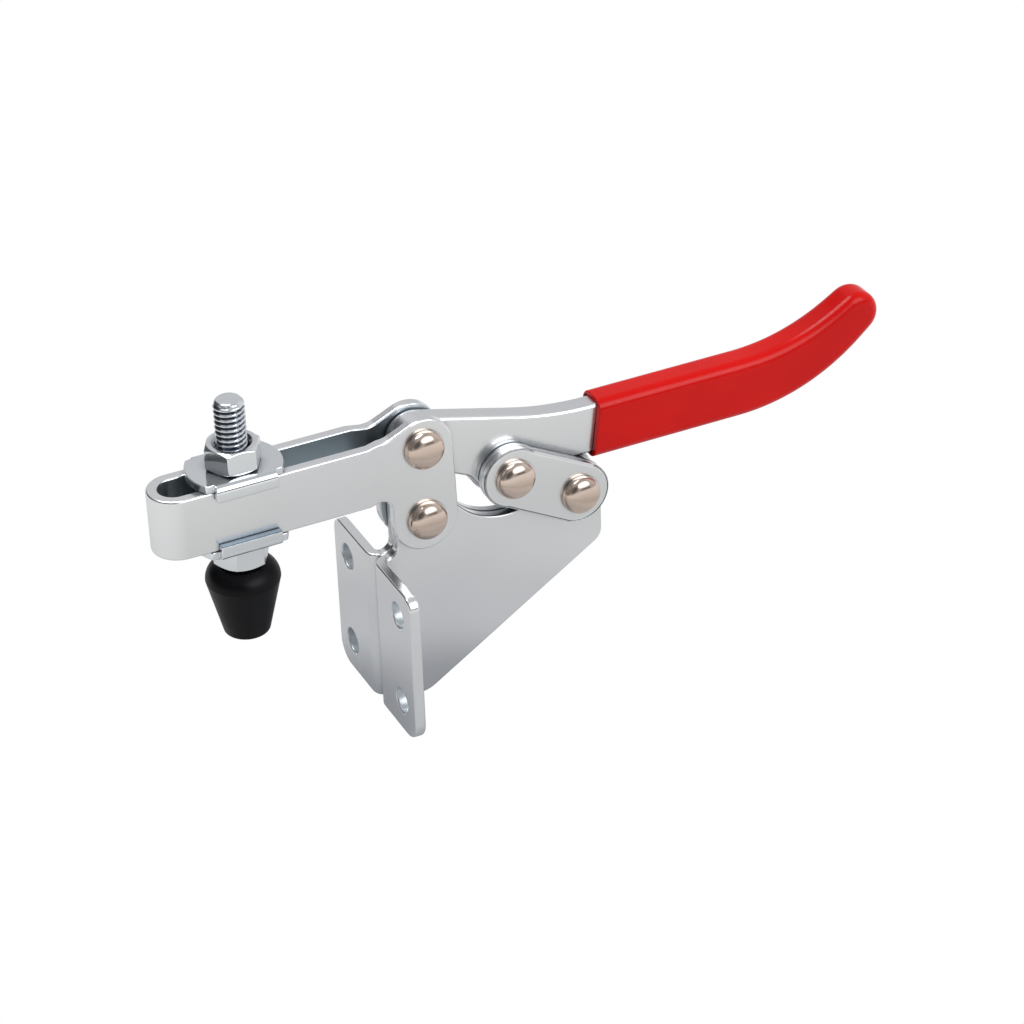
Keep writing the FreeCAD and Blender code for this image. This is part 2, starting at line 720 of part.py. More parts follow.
def build_flanged_washer(document, dim, label, seat, up):
    """A round-ended washer whose two lips hold the bar's sides. It lies on the seat, or under."""
    body = new_body(document, label, spindle_place(dim, seat))
    inside = dim.bar_half_width + dim.lip_gap
    outside = inside + dim.lip_sheet
    half_length = root(dim.washer_radius * dim.washer_radius - inside * inside)
    thickness = dim.washer_sheet
    bend = dim.lip_sheet

    plate = new_sketch(body, "XY_Plane")
    draw_outline(plate, [
        (half_length, -inside, None, dim.washer_radius),
        (half_length, inside),
        (-half_length, inside, None, dim.washer_radius),
        (-half_length, -inside),
    ])
    extrude(body, "Pad", plate, thickness, side="One side", backwards=not up)

    section = new_sketch(body, "YZ_Plane")
    if up:
        nodes = [
            (outside, -dim.lip_depth),
            (outside - bend, thickness - bend, bend),
            (bend - outside, thickness - bend, bend),
            (-outside, -dim.lip_depth),
            (-inside, -dim.lip_depth),
            (-inside, 0),
            (inside, 0),
            (inside, -dim.lip_depth),
        ]
    else:
        nodes = [
            (-outside, dim.lip_depth),
            (bend - outside, bend - thickness, bend),
            (outside - bend, bend - thickness, bend),
            (outside, dim.lip_depth),
            (inside, dim.lip_depth),
            (inside, 0),
            (-inside, 0),
            (-inside, dim.lip_depth),
        ]
    draw_outline(section, nodes)
    extrude(body, "Pad", section, dim.lip_length)

    hole = new_sketch(body, "XY_Plane")
    draw_circle(hole, 0, 0, dim.washer_hole)
    extrude(body, "Pocket", hole, thickness * 4)
    return body


def draw_hexagon(sketch, flats):
    """A hexagon with two of its flats along the bar."""
    half = flats / 2
    corner = flats / root(sized(3))
    draw_outline(sketch, [
        (corner, 0),
        (corner / 2, half),
        (-corner / 2, half),
        (-corner, 0),
        (-corner / 2, -half),
        (corner / 2, -half),
    ])


def bevel_corners(body, dim, level, upward):
    """Turns the hexagon's corners down at one end, as on any nut or bolt head."""
    flat = dim.nut_flats / 2
    reach = dim.nut_flats / root(sized(3)) + 1
    fall = (reach - flat) * tangent_of(dim.nut_bevel)
    ring = new_sketch(body, "XZ_Plane")
    if upward:
        nodes = [(flat, level), (reach, level - fall), (reach, level + 1), (flat, level + 1)]
    else:
        nodes = [(flat, level), (flat, level - 1), (reach, level - 1), (reach, level + fall)]
    draw_outline(ring, nodes)
    revolve(body, "Groove", ring, "Z_Axis")


def build_nut(document, dim, label, bottom):
    body = new_body(document, label, spindle_place(dim, bottom))
    blank = new_sketch(body, "XY_Plane")
    draw_hexagon(blank, dim.nut_flats)
    draw_circle(blank, 0, 0, dim.spindle_radius + dim.thread_gap)
    extrude(body, "Pad", blank, dim.nut_height, side="One side")
    bevel_corners(body, dim, dim.nut_height, True)
    bevel_corners(body, dim, sized(0), False)
    return body


def spindle_head_top(dim):
    return -dim.rim_drop - dim.head_sink


def build_spindle(document, dim):
    """The hexagon-headed bolt of the spindle. Its head is inside the rubber tip."""
    body = new_body(document, "spindle_bolt", spindle_place(dim, 0))
    head_top = spindle_head_top(dim)
    head_bottom = head_top - dim.bolt_head
    shank = new_sketch(body, "XZ_Plane")
    draw_outline(shank, [
        (0, head_bottom),
        (dim.spindle_radius, head_bottom),
        (dim.spindle_radius, dim.spindle_top - dim.spindle_bevel),
        (dim.spindle_radius - dim.spindle_bevel, dim.spindle_top),
        (0, dim.spindle_top),
    ])
    revolve(body, "Revolution", shank, "Z_Axis")
    head = new_sketch(body, "XY_Plane", head_bottom)
    draw_hexagon(head, dim.nut_flats)
    extrude(body, "Pad", head, dim.bolt_head, side="One side")
    return body


def build_rubber_tip(document, dim):
    """The moulded rubber tip that wraps the spindle's head."""
    body = new_body(document, "rubber_tip", spindle_place(dim, 0))
    head_top = spindle_head_top(dim)
    outline = new_sketch(body, "XZ_Plane")
    draw_outline(outline, [
        (0, -dim.foot_drop),
        (dim.foot_radius - dim.foot_bevel, -dim.foot_drop),
        (dim.foot_radius, dim.foot_bevel - dim.foot_drop),
        *dome(dim.cap_radius, dim.rim_radius, -dim.rim_drop, -dim.cap_drop, 0),
        (0, -dim.cap_drop),
    ])
    revolve(body, "Revolution", outline, "Z_Axis")
    bore = new_sketch(body, "XY_Plane", head_top)
    draw_circle(bore, 0, 0, dim.spindle_radius)
    extrude(body, "Pocket", bore, dim.foot_drop, side="One side", backwards=True)
    socket = new_sketch(body, "XY_Plane", head_top)
    draw_hexagon(socket, dim.nut_flats)
    extrude(body, "Pocket", socket, dim.bolt_head, side="One side")
    return body


def build_spindle_group(document, dim):
    upper_seat = bar_top(dim) + dim.washer_sheet
    lower_seat = dim.bar_bottom - dim.washer_sheet
    return [
        build_flanged_washer(document, dim, "upper_flanged_washer", bar_top(dim), True),
        build_flanged_washer(document, dim, "lower_flanged_washer", dim.bar_bottom, False),
        build_nut(document, dim, "upper_nut", upper_seat),
        build_nut(document, dim, "lower_nut", lower_seat - dim.nut_height),
        build_spindle(document, dim),
        build_rubber_tip(document, dim),
    ]


def check_document(document, pieces):
    """Stops if anything in the document failed or a piece is not sound."""
    for item in document.Objects:
        if "Invalid" in item.State or "Error" in item.State:
            raise RuntimeError(f"{item.Name} failed: {item.State}")
    for piece in pieces:
        shape = piece.Shape
        if shape.isNull() or not shape.isValid() or len(shape.Solids) != 1:
            raise RuntimeError(f"{piece.Label} is not one sound solid")


def main():
    document = FreeCAD.newDocument("toggle_clamp")
    dim = Dimensions(document)
    document.recompute()
    pieces = [
        *build_base_plates(document, dim),
        *build_bar(document, dim),
        *build_lever(document, dim),
        *build_grip(document, dim),
        *build_links(document, dim),
        *build_rivets(document, dim),
        *build_spindle_group(document, dim),
    ]
    document.recompute()
    check_document(document, pieces)
    os.makedirs("parts", exist_ok=True)
    for piece in pieces:
        piece.Shape.exportStep(f"parts/{piece.Label}.step")
        print(f"{piece.Label}: {piece.Shape.Volume:.1f} mm3")


main()
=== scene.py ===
"""Looks of the toggle clamp: zinc, nickel, red vinyl and black rubber in soft studio light."""

import json
import math

import bmesh
import bpy
from mathutils import Matrix, Vector

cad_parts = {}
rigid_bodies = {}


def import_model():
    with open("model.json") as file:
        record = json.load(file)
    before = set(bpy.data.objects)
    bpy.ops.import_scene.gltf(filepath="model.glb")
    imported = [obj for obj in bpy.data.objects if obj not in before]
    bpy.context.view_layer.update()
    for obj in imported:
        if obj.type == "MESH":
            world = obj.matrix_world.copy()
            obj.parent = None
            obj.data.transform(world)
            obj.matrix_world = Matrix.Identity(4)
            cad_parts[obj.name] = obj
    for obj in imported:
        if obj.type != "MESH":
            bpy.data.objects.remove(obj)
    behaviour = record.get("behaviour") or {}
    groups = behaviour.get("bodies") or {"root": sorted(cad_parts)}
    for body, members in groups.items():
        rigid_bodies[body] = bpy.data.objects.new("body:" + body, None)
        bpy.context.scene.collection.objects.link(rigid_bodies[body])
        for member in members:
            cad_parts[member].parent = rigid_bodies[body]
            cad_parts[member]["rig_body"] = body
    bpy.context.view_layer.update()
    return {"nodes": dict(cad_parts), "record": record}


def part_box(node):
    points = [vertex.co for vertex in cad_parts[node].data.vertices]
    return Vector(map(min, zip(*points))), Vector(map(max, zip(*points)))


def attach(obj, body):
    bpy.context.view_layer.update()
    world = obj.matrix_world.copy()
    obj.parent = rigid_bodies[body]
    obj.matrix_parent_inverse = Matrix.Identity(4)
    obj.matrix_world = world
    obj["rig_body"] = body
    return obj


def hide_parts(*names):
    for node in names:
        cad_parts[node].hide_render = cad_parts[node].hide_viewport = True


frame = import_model()
NODES = frame["nodes"]

MM = 0.001
WHITE = (1, 1, 1, 1)


def rgb(red, green, blue):
    """Display colour, 0 to 255, as linear colour by the sRGB curve."""
    def linear(value):
        value /= 255
        return value / 12.92 if value <= 0.04045 else ((value + 0.055) / 1.055) ** 2.4
    return (linear(red), linear(green), linear(blue), 1.0)


# Middle range of a noise, where most of its values lie
NOISE_LOW = 0.3
NOISE_HIGH = 0.7

# Corners with painted shade: how far they reach in metres, and the open share at which the darker
# painted tone is full or gone
CORNER_REACH = 0.008
CORNER_SAMPLES = 8
SHUT_IN = 0.1
IN_THE_OPEN = 0.75


class Tree:
    """A shader tree with short calls for its nodes and links."""

    def __init__(self, tree):
        self.tree = tree

    def node(self, kind, **settings):
        """Adds a node. Each setting is an input's value or else a property of the node."""
        node = self.tree.nodes.new(kind)
        for name, value in settings.items():
            if name in node.inputs:
                node.inputs[name].default_value = value
            else:
                setattr(node, name, value)
        return node

    def link(self, source, target):
        self.tree.links.new(source, target)

    def feed(self, source, target):
        """Links an output to an input, or gives the input a fixed value."""
        if isinstance(source, bpy.types.NodeSocket):
            self.link(source, target)
        else:
            target.default_value = source

    def span(self, value, limits, **settings):
        """Maps a value from one range to another. The limits go by the names of the inputs."""
        span = self.node("ShaderNodeMapRange", **settings)
        for name, limit in limits.items():
            span.inputs[name].default_value = limit
        self.link(value, span.inputs["Value"])
        return span.outputs["Result"]

    def mix(self, factor, first, second):
        """Mixes two colours, each an output or a fixed colour."""
        mix = self.node("ShaderNodeMix", data_type="RGBA")
        self.link(factor, mix.inputs["Factor"])
        self.feed(first, mix.inputs["A"])
        self.feed(second, mix.inputs["B"])
        return mix.outputs["Result"]

    def ramp(self, factor, stops):
        ramp = self.node("ShaderNodeValToRGB")
        while len(ramp.color_ramp.elements) < len(stops):
            ramp.color_ramp.elements.new(0.5)
        for element, (position, color) in zip(ramp.color_ramp.elements, stops):
            element.position = position
            element.color = color
        self.link(factor, ramp.inputs["Fac"])
        return ramp.outputs["Color"]


class Material(Tree):
    """A material with a Principled shader."""

    def __init__(self, name, color, metallic=0.0, roughness=0.5):
        self.material = bpy.data.materials.new(name)
        self.material.use_nodes = True
        super().__init__(self.material.node_tree)
        self.shader = self.tree.nodes["Principled BSDF"]
        self.shader.inputs["Base Color"].default_value = color
        self.shader.inputs["Metallic"].default_value = metallic
        self.shader.inputs["Roughness"].default_value = roughness
        self.material.diffuse_color = color
        self.coordinates = self.tree.nodes.new("ShaderNodeTexCoord").outputs["Object"]

    def noise(self, scale, detail):
        noise = self.node("ShaderNodeTexNoise", Scale=scale, Detail=detail)
        self.link(self.coordinates, noise.inputs["Vector"])
        return noise.outputs["Fac"]

    def spread(self, noise, low, high):
        """Maps a noise's middle range to low…high."""
        return self.span(noise, {"From Min": NOISE_LOW, "From Max": NOISE_HIGH,
                                 "To Min": low, "To Max": high})

    def bump(self, height, strength, distance):
        bump = self.node("ShaderNodeBump", Strength=strength, Distance=distance)
        self.link(height, bump.inputs["Height"])
        self.link(bump.outputs["Normal"], self.shader.inputs["Normal"])

    def paint_corner_shade(self, tone, hidden):
        """Paints shade: mixes a hidden, darker tone into slots and corners that little light reaches.
        """
        reach = self.node("ShaderNodeAmbientOcclusion", Distance=CORNER_REACH,
                          samples=CORNER_SAMPLES)
        open_part = self.span(reach.outputs["AO"], {"From Min": SHUT_IN, "From Max": IN_THE_OPEN})
        return self.mix(open_part, hidden, tone)

    def color_from(self, output):
        self.link(output, self.shader.inputs["Base Color"])

    def roughness_from(self, output):
        self.link(output, self.shader.inputs["Roughness"])

    def specular(self, level):
        self.shader.inputs["Specular IOR Level"].default_value = level


# Noise values at which a tone's darker and lighter colour are reached
DARK_CLOUD = 0.35
LIGHT_CLOUD = 0.65

# Plating: noise scales of its tone and its gloss, and how far its roughness goes down and up
PLATE_CLOUDS = 22
PLATE_GLOSS = 35
GLOSSIER = 0.015
DULLER = 0.02


def plated(name, dark, light, roughness, metallic=0.95, hidden=None):
    """Zinc or nickel plating: a faint slow change of tone and gloss, with painted shade in deep
    corners.
    """
    material = Material(name, light, metallic=metallic, roughness=roughness)
    clouds = material.noise(PLATE_CLOUDS, detail=1)
    tone = material.ramp(clouds, [(DARK_CLOUD, dark), (LIGHT_CLOUD, light)])
    if hidden:
        tone = material.paint_corner_shade(tone, hidden)
    material.color_from(tone)
    gloss = material.noise(PLATE_GLOSS, detail=1)
    material.roughness_from(material.spread(gloss, roughness - GLOSSIER, roughness + DULLER))
    return material.material


# The hidden colours are painted shade for deep corners and slots.
ZINC = plated("zinc_sheet", rgb(228, 229, 230), rgb(233, 234, 234), 0.25,
              hidden=rgb(88, 103, 114))
BRIGHT_ZINC = plated("zinc_hardware", rgb(222, 226, 229), rgb(230, 233, 235), 0.13,
                     hidden=rgb(110, 122, 132))
# Darker, bluer zinc for the bar's slot walls: painted shade.
SLOT_SHADE_ZINC = plated("zinc_slot_painted_shade", rgb(200, 208, 212), rgb(206, 214, 218), 0.28,
                    hidden=rgb(102, 108, 116))
# Dark zinc painted as shade into the thread's grooves and onto the washers' lip ends.
GROOVE_SHADE_ZINC = plated("zinc_groove_painted_shade", rgb(74, 84, 93), rgb(98, 109, 119), 0.22)
# Darker, duller zinc for the flange holes' walls: painted shade.
HOLE_SHADE_ZINC = plated("zinc_hole_painted_shade", rgb(204, 212, 216), rgb(212, 220, 224), 0.38, metallic=0.7,
                   hidden=rgb(150, 160, 166))
NICKEL = plated("nickel_rivet", rgb(205, 186, 172), rgb(216, 198, 184), 0.17)


def vinyl():
    """Dipped red vinyl: faint clouds of tone and a very low grain."""
    material = Material("red_vinyl", rgb(204, 8, 3), roughness=0.24)
    clouds = material.noise(scale=40, detail=2)
    material.color_from(material.ramp(clouds, [(DARK_CLOUD, rgb(198, 6, 2)),
                                               (LIGHT_CLOUD, rgb(208, 10, 4))]))
    material.bump(material.noise(scale=160, detail=2), strength=0.04, distance=0.0004)
    material.specular(0.2)
    return material.material


def rubber():
    """Moulded black rubber: uneven gloss and a very low grain."""
    material = Material("black_rubber", rgb(8, 8, 11), roughness=0.4)
    material.roughness_from(material.spread(material.noise(scale=200, detail=3), 0.36, 0.44))
    material.bump(material.noise(scale=500, detail=2), strength=0.03, distance=0.0002)
    material.specular(0.14)
    return material.material


LOOKS = {"plate": ZINC, "hardware": BRIGHT_ZINC, "rivet": NICKEL, "grip": vinyl(), "rubber": rubber()}
SLOTS = {part["node"]: part["material_slot"] for part in frame["record"]["subparts"]}


def dress(obj, material):
    obj.data.materials.clear()
    obj.data.materials.append(material)


for node, slot in SLOTS.items():
    dress(NODES[node], LOOKS[slot])


def add_object(name, mesh):
    """Puts a finished bmesh into the scene as an object."""
    data = bpy.data.meshes.new(name)
    mesh.to_mesh(data)
    mesh.free()
    obj = bpy.data.objects.new(name, data)
    bpy.context.scene.collection.objects.link(obj)
    return obj


def add_piece(name, mesh, node):
    """Turns a mesh into a piece that stands for a CAD node and moves with it."""
    piece = add_object(name, mesh)
    piece.data.materials.append(LOOKS[SLOTS[node]])
    for polygon in piece.data.polygons:
        polygon.use_smooth = True
    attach(piece, NODES[node]["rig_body"])
    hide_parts(node)
    return piece


def sharpen(piece, angle):
    """Keeps edges above an angle sharp in a smooth piece."""
    mesh = bmesh.new()
    mesh.from_mesh(piece.data)
    for edge in mesh.edges:
        if len(edge.link_faces) == 2 and edge.calc_face_angle() > math.radians(angle):
            edge.smooth = False
    mesh.to_mesh(piece.data)
    mesh.free()


def round_edges(piece, width, segments, angle, clamp_overlap=False):
    """Rounds a piece's edges above an angle. The width is in millimetres."""
    bevel = piece.modifiers.new("edges", "BEVEL")
    bevel.width = width * MM
    bevel.segments = segments
    bevel.limit_method = "ANGLE"
    bevel.angle_limit = math.radians(angle)
    bevel.use_clamp_overlap = clamp_overlap
    normals = piece.modifiers.new("normals", "WEIGHTED_NORMAL")
    normals.keep_sharp = True


def paint(piece, material, chosen):
    """Gives a second material to the faces that a test picks by centre, in mm, and normal."""
    piece.data.materials.append(material)
    for polygon in piece.data.polygons:
        if chosen(polygon.center / MM, polygon.normal):
            polygon.material_index = 1


def join_rings(mesh, first, second):
    """Faces between two rings of points. A ring of a single point is a pole."""
    steps = max(len(first), len(second))
    faces = []
    for step in range(steps):
        after = (step + 1) % steps
        corners = [first[step % len(first)], first[after % len(first)],
                   second[after % len(second)], second[step % len(second)]]
        faces.append(mesh.faces.new(list(dict.fromkeys(corners))))
    return faces


LATHE_STEPS = 96


def lathe(points, centre, axis):
    """A surface turned from (radius, distance along the axis) points, in millimetres."""
    mesh = bmesh.new()
    side = Vector((1, 0, 0))
    other = axis.cross(side)
    rings = []
    for radius, along in points:
        if radius == 0:
            rings.append([mesh.verts.new((centre + axis * along) * MM)])
            continue
        ring = []
        for step in range(LATHE_STEPS):
            angle = 2 * math.pi * step / LATHE_STEPS
            spoke = side * math.cos(angle) + other * math.sin(angle)
            ring.append(mesh.verts.new((centre + axis * along + spoke * radius) * MM))
        rings.append(ring)
    for first, second in zip(rings, rings[1:]):
        join_rings(mesh, first, second)
    bmesh.ops.recalc_face_normals(mesh, faces=mesh.faces)
    return mesh


def arc(centre, radius, start, end, steps):
    """Points on a circle arc in the (radius, along) plane. The angles are in degrees."""
    points = []
    for step in range(steps + 1):
        angle = math.radians(start + (end - start) * step / steps)
        points.append((centre[0] + radius * math.cos(angle), centre[1] + radius * math.sin(angle)))
    return points


# Bar, in millimetres: height of its middle, half its height, the gap that lets the washers slide
# along it, and how near a point has to be to lie on it
BAR_MID = 50.0
BAR_HALF = 8.55
SLIP = 0.05
ON_BAR = 0.02


def clear_of_bar(mesh):
    """Moves the face that lies on the bar a hair away, so a washer slides without touching."""
    for vertex in mesh.verts:
        along = vertex.co.z / MM - BAR_MID
        if abs(abs(along) - BAR_HALF) < ON_BAR:
            vertex.co.z = (BAR_MID + math.copysign(BAR_HALF + SLIP, along)) * MM


# Points closer than this, in metres, are one, and faces within this angle, in degrees, are flat
SAME_POINT = 1e-6
SAME_PLANE = 0.5


def soften(node, width, segments=3, angle=28):
    """A copy of a CAD node with its sharp edges rounded a little."""
    mesh = bmesh.new()
    mesh.from_mesh(NODES[node].data)
    bmesh.ops.remove_doubles(mesh, verts=mesh.verts, dist=SAME_POINT)
    if node.endswith("_washer"):
        clear_of_bar(mesh)
    bmesh.ops.dissolve_limit(mesh, angle_limit=math.radians(SAME_PLANE), verts=mesh.verts,
                             edges=mesh.edges)
    piece = add_piece(node + "_look", mesh, node)
    round_edges(piece, width, segments, angle)
    return piece


# Rivets, in millimetres: the head, with a dome a little flatter on top than a half ellipse, and
# the shank's radius. A seat is the distance of the head's underside from the middle plane.
HEAD_RADIUS = 5.35
HEAD_RIM = 0.5
HEAD_HEIGHT = 3.6
HEAD_CHAMFER = 0.15
HEAD_STEPS = 28
HEAD_SHARP = 40
FLATNESS = 0.86
SHANK = 3.0
EAR_SEAT = 6.1
LINK_SEAT = 6.9


def head_profile(seat):
    """A rivet head from its seat to its crown: a low rim and a flattened dome."""
    points = [(SHANK, seat), (HEAD_RADIUS - HEAD_CHAMFER, seat), (HEAD_RADIUS, seat + HEAD_CHAMFER)]
    for step in range(HEAD_STEPS):
        turn = math.pi / 2 * step / HEAD_STEPS
        points.append((HEAD_RADIUS * math.cos(turn) ** FLATNESS,
                       seat + HEAD_RIM + (HEAD_HEIGHT - HEAD_RIM) * math.sin(turn) ** FLATNESS))
    points.append((0, seat + HEAD_HEIGHT))
    return points


def rivet(node, seat):
    """A rivet through the clamp, or half of one at the elbow. Their heads have one shape."""
    low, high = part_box(node)
    centre = (low + high) / 2 / MM
    if node.endswith(("_left", "_right")):
        side = -1 if node.endswith("_left") else 1
        inside = min(abs(low.y), abs(high.y)) / MM
        profile = [(0, inside), (SHANK, inside)] + head_profile(seat)
    else:
        side = 1
        upper = head_profile(seat)
        profile = [(radius, -along) for radius, along in reversed(upper)] + upper
    mesh = lathe(profile, Vector((centre.x, 0, centre.z)), Vector((0, side, 0)))
    sharpen(add_piece(node + "_look", mesh, node), HEAD_SHARP)


for node in ("bar_base_rivet", "bar_handle_rivet"):
    rivet(node, EAR_SEAT)
for node in ("link_base_rivet", "handle_link_rivet_left", "handle_link_rivet_right"):
    rivet(node, LINK_SEAT)


# A face is a wall, not a flat side, where its normal leans less than this towards the flat side
WALL = 0.5

# The bar's slot, in millimetres: centre of the nose's curve, and how far from the middle plane a
# wall of the slot can lie
NOSE_X = -50.8
STRIP_INSIDE = 4.4


def in_slot(centre, normal):
    """Tells an upright face of the bar that looks into its slot. These faces get darker zinc as
    painted shade.
    """
    if abs(normal.z) > WALL or abs(centre.y) > STRIP_INSIDE:
        return False
    outward = Vector((min(0.0, centre.x - NOSE_X), centre.y, 0))
    return normal.dot(outward) < 0


# The flange's holes, whose walls get painted shade, in millimetres: their places, and a radius that
# takes in their walls
HOLE_Y = 15.7
HOLE_Z = 13.35
HOLE_EDGE = 3.6


def in_hole(centre, normal):
    """Tells a face that is the wall of one of the flange's holes, which gets painted shade."""
    from_hole = math.hypot(abs(centre.y) - HOLE_Y, abs(centre.z) - HOLE_Z)
    return abs(normal.x) < WALL and from_hole < HOLE_EDGE


# The washers' lips, whose end faces get painted shade: height of their ends from the bar's middle,
# how near to it a face has to be, both in millimetres, and how level it has to be
LIP_END = 6.45
NEAR_END = 0.1
LEVEL = 0.9


def at_lip_end(centre, normal):
    """Tells a face that ends a washer's lip and looks along the bar's side. It gets painted shade."""
    along = abs(centre.z - BAR_MID)
    return abs(normal.z) > LEVEL and abs(along - LIP_END) < NEAR_END


# Sheet pieces with edges that catch the light
# The flange holes' walls get darker zinc: painted shade.
for node in ("base_plate_left", "base_plate_right"):
    paint(soften(node, 0.6, segments=4), HOLE_SHADE_ZINC, in_hole)
# The bar's slot walls get darker zinc: painted shade.
paint(soften("u_bar", 0.6, segments=4), SLOT_SHADE_ZINC, in_slot)
for node in ("outer_link_left", "outer_link_right"):
    soften(node, 0.5, segments=4)
for node in ("handle_lever", "inner_link_left", "inner_link_right"):
    soften(node, 0.3)
# The washers' lip ends get dark zinc: painted shade.
for node in ("upper_flanged_washer", "lower_flanged_washer"):
    paint(soften(node, 0.28), GROOVE_SHADE_ZINC, at_lip_end)
soften("handle_grip", 0.25, segments=2, angle=50)


SPINDLE_X = (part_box("upper_nut")[0].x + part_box("upper_nut")[1].x) / 2 / MM


def spindle_point(mesh, radius, angle, height):
    """Adds a point at a radius, angle and height about the spindle's axis."""
    spot = Vector((SPINDLE_X + radius * math.cos(angle), radius * math.sin(angle), height))
    return mesh.verts.new(spot * MM)


# Thread, with its pitch as counted in the photograph. A turn of its profile has a crest, a flank
# and a root, as shares of half the pitch.
PITCH = 1.45
CREST = 3.97
ROOT = 3.22
CREST_SHARE = 0.2
FLANK_SHARE = 0.7
THREAD_STEPS = 48
ROWS_A_TURN = 12
THREAD_SHARP = 38

# The thread starts this far above the spindle's bottom, because its head is hidden in the rubber
THREAD_START = 5.4

# Bevelled end: its height in millimetres, how far its curve goes, and the share of it without painted
# groove shade. Below the end, a face this far under the crests, in millimetres, is painted dark as
# shade.
END_ROUND = 1.7
END_CURVE = 0.85
END_PLAIN = 0.7
GROOVE_SHADE_FROM = 0.3


def threaded_rod(node):
    """The spindle: a screw surface with a bevelled end. Its head is hidden in the rubber."""
    low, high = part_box(node)
    bottom = low.z / MM + THREAD_START
    top = high.z / MM
    mesh = bmesh.new()
    rows = int((top - bottom) / PITCH * ROWS_A_TURN)
    rings = []
    for row in range(rows + 1):
        height = bottom + (top - bottom) * row / rows
        into_end = max(0.0, 1 - (top - height) / END_ROUND)
        end_radius = CREST - END_ROUND * (1 - math.sqrt(1 - into_end ** 2 * END_CURVE))
        ring = []
        for step in range(THREAD_STEPS):
            turn = step / THREAD_STEPS
            phase = ((height - bottom) / PITCH - turn) % 1.0
            slope = min(1.0, max(0.0, (abs(phase - 0.5) * 2 - CREST_SHARE) / FLANK_SHARE))
            radius = min(CREST - (CREST - ROOT) * slope, end_radius)
            ring.append(spindle_point(mesh, radius, 2 * math.pi * turn, height))
        rings.append(ring)
    for first, second in zip(rings, rings[1:]):
        for face in join_rings(mesh, first, second):
            middle = face.calc_center_median() / MM
            depth = CREST - math.hypot(middle.x - SPINDLE_X, middle.y)
            # Faces deep in the grooves get dark zinc: painted shade.
            if depth > GROOVE_SHADE_FROM and middle.z < top - END_ROUND * END_PLAIN:
                face.material_index = 1
    mesh.faces.new(list(reversed(rings[0])))
    mesh.faces.new(rings[-1])
    piece = add_piece("spindle_thread", mesh, node)
    piece.data.materials.append(GROOVE_SHADE_ZINC)
    sharpen(piece, THREAD_SHARP)


# Nuts, in millimetres: half the width across the flats, radii of bore and countersink, and
# corners turned down at 30 degrees outside a round face
FLAT = 6.5
BORE = 4.05
COUNTERSINK = 5.2
SINK_DEPTH = 1.0
ROUND_FACE = FLAT * 0.955
CORNER_FALL = math.tan(math.radians(30))
NUT_STEPS = 96
NUT_EDGE = 0.16
NUT_SHARP = 24


def hexagon(angle):
    """Radius of the nut's outline at an angle."""
    return FLAT / math.cos((angle % (math.pi / 3)) - math.pi / 6)


def nut(node):
    """A hexagon nut with turned-down corners and a countersunk bore at both ends."""
    low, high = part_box(node)
    bottom = low.z / MM
    top = high.z / MM
    mesh = bmesh.new()

    def fall(angle):
        return (hexagon(angle) - ROUND_FACE) * CORNER_FALL

    def ring(radius_at, height_at):
        angles = [2 * math.pi * step / NUT_STEPS for step in range(NUT_STEPS)]
        return [spindle_point(mesh, radius_at(angle), angle, height_at(angle)) for angle in angles]

    def fixed(value):
        return lambda angle: value

    rings = [
        ring(fixed(BORE), fixed(bottom + SINK_DEPTH)),
        ring(fixed(COUNTERSINK), fixed(bottom)),
        ring(fixed(ROUND_FACE), fixed(bottom)),
        ring(hexagon, lambda angle: bottom + fall(angle)),
        ring(hexagon, lambda angle: top - fall(angle)),
        ring(fixed(ROUND_FACE), fixed(top)),
        ring(fixed(COUNTERSINK), fixed(top)),
        ring(fixed(BORE), fixed(top - SINK_DEPTH)),
    ]
    for first, second in zip(rings, rings[1:] + rings[:1]):
        join_rings(mesh, first, second)
    bmesh.ops.recalc_face_normals(mesh, faces=mesh.faces)
    piece = add_piece(node + "_look", mesh, node)
    sharpen(piece, NUT_SHARP)
    round_edges(piece, NUT_EDGE, segments=2, angle=NUT_SHARP, clamp_overlap=True)


threaded_rod("spindle_bolt")
nut("upper_nut")
nut("lower_nut")


# Rubber tip, in millimetres: flat and rounding of its foot, the slant in degrees at which that
# rounding ends, place and radius of the dome's curve, the rim's depth and the flat on top
FOOT_FLAT = 5.2
FOOT_ROUND = 0.9
TAPER = 13
DOME_PLACE = 4.7
DOME_ROUND = 4.95
RIM_DEPTH = 5.1
TOP_FLAT = 4.1
RUBBER_SHARP = 8


def rubber_tip(node):
    """The rubber tip: round shoulder, crisp rim, straight taper and rounded foot."""
    low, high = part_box(node)
    bottom = low.z / MM
    top = high.z / MM
    points = [(0, bottom), (FOOT_FLAT, bottom)]
    points += arc((FOOT_FLAT, bottom + FOOT_ROUND), FOOT_ROUND, -90, -TAPER, steps=14)
    points += arc((DOME_PLACE, top - RIM_DEPTH), DOME_ROUND, 0, 90, steps=20)
    points += [(TOP_FLAT, top), (0, top)]
    mesh = lathe(points, Vector((SPINDLE_X, 0, 0)), Vector((0, 0, 1)))
    sharpen(add_piece(node + "_look", mesh, node), RUBBER_SHARP)


rubber_tip("rubber_tip")


# Camera, fitted to the photograph about the bar pivot. Its focal length, centre and frame are in
# pixels, and its distance and the pivot in millimetres.
BAR_PIVOT = Vector((13.8, 0.0, 32.95))
AZIMUTH = math.radians(-25.201)
ELEVATION = math.radians(32.283)
ROLL = math.radians(-1.9)
FOCAL = 3318.0
DISTANCE = 852.76
CENTRE_X = 417.0
CENTRE_Y = 507.959
HALF_FRAME = 512.0
SENSOR = 36.0


